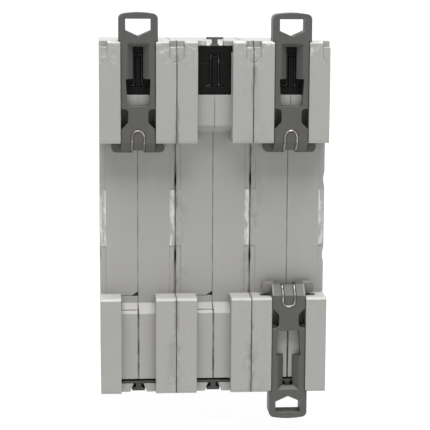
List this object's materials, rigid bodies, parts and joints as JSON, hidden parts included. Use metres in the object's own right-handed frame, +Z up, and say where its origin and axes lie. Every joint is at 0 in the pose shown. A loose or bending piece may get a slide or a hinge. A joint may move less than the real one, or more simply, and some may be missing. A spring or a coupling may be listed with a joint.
{
  "type": "miniature circuit breaker",
  "caption": "Modular circuit breaker with tied toggles, rising-cage terminals and sliding clips for a 35 mm rail.",
  "frame": {"origin": "on the face that seats on the rail, at the middle of the middle pole and of the rail", "axes": "+Z up along the longest side, +Y towards the rail behind the housing, X across the poles"},
  "size_m": [0.0524, 0.0738, 0.0947],
  "materials": {
    "housing_plastic": "moulded satin",
    "clip_plastic": "moulded satin",
    "black_plastic": "moulded",
    "toggle_plastic": "semi gloss",
    "bobbin_plastic": "moulded",
    "card": "pressed fibre",
    "spring_steel": "bright drawn wire",
    "steel": "zinc plated",
    "copper": "bright copper"
  },
  "bodies": {
    "housing": {"shell_left_1": "housing_plastic", "shell_right_1": "housing_plastic", "contact_spring_1": "spring_steel", "braid_1": "copper", "shell_left_2": "housing_plastic", "shell_right_2": "housing_plastic", "contact_spring_2": "spring_steel", "braid_2": "copper", "shell_left_3": "housing_plastic", "shell_right_3": "housing_plastic", "contact_spring_3": "spring_steel", "braid_3": "copper", "coils": "copper", "coil_bobbins": "bobbin_plastic", "magnet_yokes": "steel", "plunger_springs": "spring_steel", "bimetals": "steel", "fixed_contacts": "copper", "terminal_plates": "copper", "arc_plates": "steel", "arc_cards": "card", "pivot_pins": "steel", "housing_rivets": "steel", "clip_inserts": "black_plastic", "insert_springs": "spring_steel", "shell_keys": "clip_plastic"},
    "handle": {"toggle_tie_bar": "toggle_plastic", "toggle_1": "toggle_plastic", "toggle_2": "toggle_plastic", "toggle_3": "toggle_plastic"},
    "link_1": {"link_1": "steel"},
    "contact_arm_1": {"contact_arm_1": "copper"},
    "plunger_1": {"plunger_1": "steel"},
    "trip_lever_1": {"trip_lever_1": "bobbin_plastic"},
    "screw_top_1": {"terminal_screw_top_1": "steel"},
    "cage_top_1": {"terminal_cage_top_1": "steel"},
    "screw_bottom_1": {"terminal_screw_bottom_1": "steel"},
    "cage_bottom_1": {"terminal_cage_bottom_1": "steel"},
    "link_2": {"link_2": "steel"},
    "contact_arm_2": {"contact_arm_2": "copper"},
    "plunger_2": {"plunger_2": "steel"},
    "trip_lever_2": {"trip_lever_2": "bobbin_plastic"},
    "screw_top_2": {"terminal_screw_top_2": "steel"},
    "cage_top_2": {"terminal_cage_top_2": "steel"},
    "screw_bottom_2": {"terminal_screw_bottom_2": "steel"},
    "cage_bottom_2": {"terminal_cage_bottom_2": "steel"},
    "link_3": {"link_3": "steel"},
    "contact_arm_3": {"contact_arm_3": "copper"},
    "plunger_3": {"plunger_3": "steel"},
    "trip_lever_3": {"trip_lever_3": "bobbin_plastic"},
    "screw_top_3": {"terminal_screw_top_3": "steel"},
    "cage_top_3": {"terminal_cage_top_3": "steel"},
    "screw_bottom_3": {"terminal_screw_bottom_3": "steel"},
    "cage_bottom_3": {"terminal_cage_bottom_3": "steel"},
    "clip_top_1": {"rail_clip_top_1": "clip_plastic", "clip_spring_top_1": "spring_steel"},
    "clip_top_3": {"rail_clip_top_3": "clip_plastic", "clip_spring_top_3": "spring_steel"},
    "clip_bottom_1": {"rail_clip_bottom_1": "clip_plastic", "clip_spring_bottom_1": "spring_steel"}
  },
  "joints": [
    {"name": "handle_swing", "type": "hinge", "parent": "housing", "child": "handle", "pos_m": [0, -0.0485, 0], "axis": [-1, 0, 0], "range_deg": [0, 64]},
    {"name": "link_1_pivot", "type": "hinge", "parent": "handle", "child": "link_1", "pos_m": [-0.0175, -0.04426, 0.00265], "axis": [1, 0, 0], "range_deg": [0, 64]},
    {"name": "contact_arm_1_swing", "type": "hinge", "parent": "housing", "child": "contact_arm_1", "pos_m": [-0.0175, -0.033, -0.003], "axis": [1, 0, 0], "range_deg": [0, 14], "deforming": ["contact_spring_1", "braid_1"]},
    {"name": "plunger_1_slide", "type": "slide", "parent": "housing", "child": "plunger_1", "axis": [0, 0, -1], "range_m": [0, 0.0024], "stiffness_N_per_m": 60, "springref_m": -0.001, "deforming": ["plunger_springs"]},
    {"name": "trip_lever_1_swing", "type": "hinge", "parent": "housing", "child": "trip_lever_1", "pos_m": [-0.0175, -0.027, 0.003], "axis": [-1, 0, 0], "range_deg": [0, 9.2]},
    {"name": "terminal_screw_top_1_turn", "type": "hinge", "parent": "housing", "child": "screw_top_1", "pos_m": [-0.0175, -0.0395, 0.0321], "axis": [0, 1, 0], "range_deg": [0, 2160]},
    {"name": "terminal_cage_top_1_rise", "type": "slide", "parent": "housing", "child": "cage_top_1", "axis": [0, -1, 0], "range_m": [0, 0.0048]},
    {"name": "terminal_screw_bottom_1_turn", "type": "hinge", "parent": "housing", "child": "screw_bottom_1", "pos_m": [-0.0175, -0.0395, -0.0321], "axis": [0, 1, 0], "range_deg": [0, 2160]},
    {"name": "terminal_cage_bottom_1_rise", "type": "slide", "parent": "housing", "child": "cage_bottom_1", "axis": [0, -1, 0], "range_m": [0, 0.0048]},
    {"name": "link_2_pivot", "type": "hinge", "parent": "handle", "child": "link_2", "pos_m": [0, -0.04426, 0.00265], "axis": [1, 0, 0], "range_deg": [0, 64]},
    {"name": "contact_arm_2_swing", "type": "hinge", "parent": "housing", "child": "contact_arm_2", "pos_m": [0, -0.033, -0.003], "axis": [1, 0, 0], "range_deg": [0, 14], "deforming": ["contact_spring_2", "braid_2"]},
    {"name": "plunger_2_slide", "type": "slide", "parent": "housing", "child": "plunger_2", "axis": [0, 0, -1], "range_m": [0, 0.0024], "stiffness_N_per_m": 60, "springref_m": -0.001, "deforming": ["plunger_springs"]},
    {"name": "trip_lever_2_swing", "type": "hinge", "parent": "housing", "child": "trip_lever_2", "pos_m": [0, -0.027, 0.003], "axis": [-1, 0, 0], "range_deg": [0, 9.2]},
    {"name": "terminal_screw_top_2_turn", "type": "hinge", "parent": "housing", "child": "screw_top_2", "pos_m": [0, -0.0395, 0.0321], "axis": [0, 1, 0], "range_deg": [0, 2160]},
    {"name": "terminal_cage_top_2_rise", "type": "slide", "parent": "housing", "child": "cage_top_2", "axis": [0, -1, 0], "range_m": [0, 0.0048]},
    {"name": "terminal_screw_bottom_2_turn", "type": "hinge", "parent": "housing", "child": "screw_bottom_2", "pos_m": [0, -0.0395, -0.0321], "axis": [0, 1, 0], "range_deg": [0, 2160]},
    {"name": "terminal_cage_bottom_2_rise", "type": "slide", "parent": "housing", "child": "cage_bottom_2", "axis": [0, -1, 0], "range_m": [0, 0.0048]},
    {"name": "link_3_pivot", "type": "hinge", "parent": "handle", "child": "link_3", "pos_m": [0.0175, -0.04426, 0.00265], "axis": [1, 0, 0], "range_deg": [0, 64]},
    {"name": "contact_arm_3_swing", "type": "hinge", "parent": "housing", "child": "contact_arm_3", "pos_m": [0.0175, -0.033, -0.003], "axis": [1, 0, 0], "range_deg": [0, 14], "deforming": ["contact_spring_3", "braid_3"]},
    {"name": "plunger_3_slide", "type": "slide", "parent": "housing", "child": "plunger_3", "axis": [0, 0, -1], "range_m": [0, 0.0024], "stiffness_N_per_m": 60, "springref_m": -0.001, "deforming": ["plunger_springs"]},
    {"name": "trip_lever_3_swing", "type": "hinge", "parent": "housing", "child": "trip_lever_3", "pos_m": [0.0175, -0.027, 0.003], "axis": [-1, 0, 0], "range_deg": [0, 9.2]},
    {"name": "terminal_screw_top_3_turn", "type": "hinge", "parent": "housing", "child": "screw_top_3", "pos_m": [0.0175, -0.0395, 0.0321], "axis": [0, 1, 0], "range_deg": [0, 2160]},
    {"name": "terminal_cage_top_3_rise", "type": "slide", "parent": "housing", "child": "cage_top_3", "axis": [0, -1, 0], "range_m": [0, 0.0048]},
    {"name": "terminal_screw_bottom_3_turn", "type": "hinge", "parent": "housing", "child": "screw_bottom_3", "pos_m": [0.0175, -0.0395, -0.0321], "axis": [0, 1, 0], "range_deg": [0, 2160]},
    {"name": "terminal_cage_bottom_3_rise", "type": "slide", "parent": "housing", "child": "cage_bottom_3", "axis": [0, -1, 0], "range_m": [0, 0.0048]},
    {"name": "rail_clip_top_1_slide", "type": "slide", "parent": "housing", "child": "clip_top_1", "axis": [0, 0, 1], "range_m": [0, 0.0028]},
    {"name": "rail_clip_top_3_slide", "type": "slide", "parent": "housing", "child": "clip_top_3", "axis": [0, 0, 1], "range_m": [0, 0.0028]},
    {"name": "rail_clip_bottom_1_slide", "type": "slide", "parent": "housing", "child": "clip_bottom_1", "axis": [0, 0, -1], "range_m": [0, 0.0028]}
  ],
  "couplings": [
    {"joint": "link_1_pivot", "follows": "handle_swing", "ratio": 1},
    {"joint": "contact_arm_1_swing", "follows": "handle_swing", "ratio": 0.21875},
    {"joint": "trip_lever_1_swing", "follows": "plunger_1_slide", "rad_per_m": 66.667},
    {"joint": "terminal_screw_top_1_turn", "follows": "terminal_cage_top_1_rise", "rad_per_m": 7854},
    {"joint": "terminal_screw_bottom_1_turn", "follows": "terminal_cage_bottom_1_rise", "rad_per_m": 7854},
    {"joint": "link_2_pivot", "follows": "handle_swing", "ratio": 1},
    {"joint": "contact_arm_2_swing", "follows": "handle_swing", "ratio": 0.21875},
    {"joint": "trip_lever_2_swing", "follows": "plunger_2_slide", "rad_per_m": 66.667},
    {"joint": "terminal_screw_top_2_turn", "follows": "terminal_cage_top_2_rise", "rad_per_m": 7854},
    {"joint": "terminal_screw_bottom_2_turn", "follows": "terminal_cage_bottom_2_rise", "rad_per_m": 7854},
    {"joint": "link_3_pivot", "follows": "handle_swing", "ratio": 1},
    {"joint": "contact_arm_3_swing", "follows": "handle_swing", "ratio": 0.21875},
    {"joint": "trip_lever_3_swing", "follows": "plunger_3_slide", "rad_per_m": 66.667},
    {"joint": "terminal_screw_top_3_turn", "follows": "terminal_cage_top_3_rise", "rad_per_m": 7854},
    {"joint": "terminal_screw_bottom_3_turn", "follows": "terminal_cage_bottom_3_rise", "rad_per_m": 7854}
  ]
}
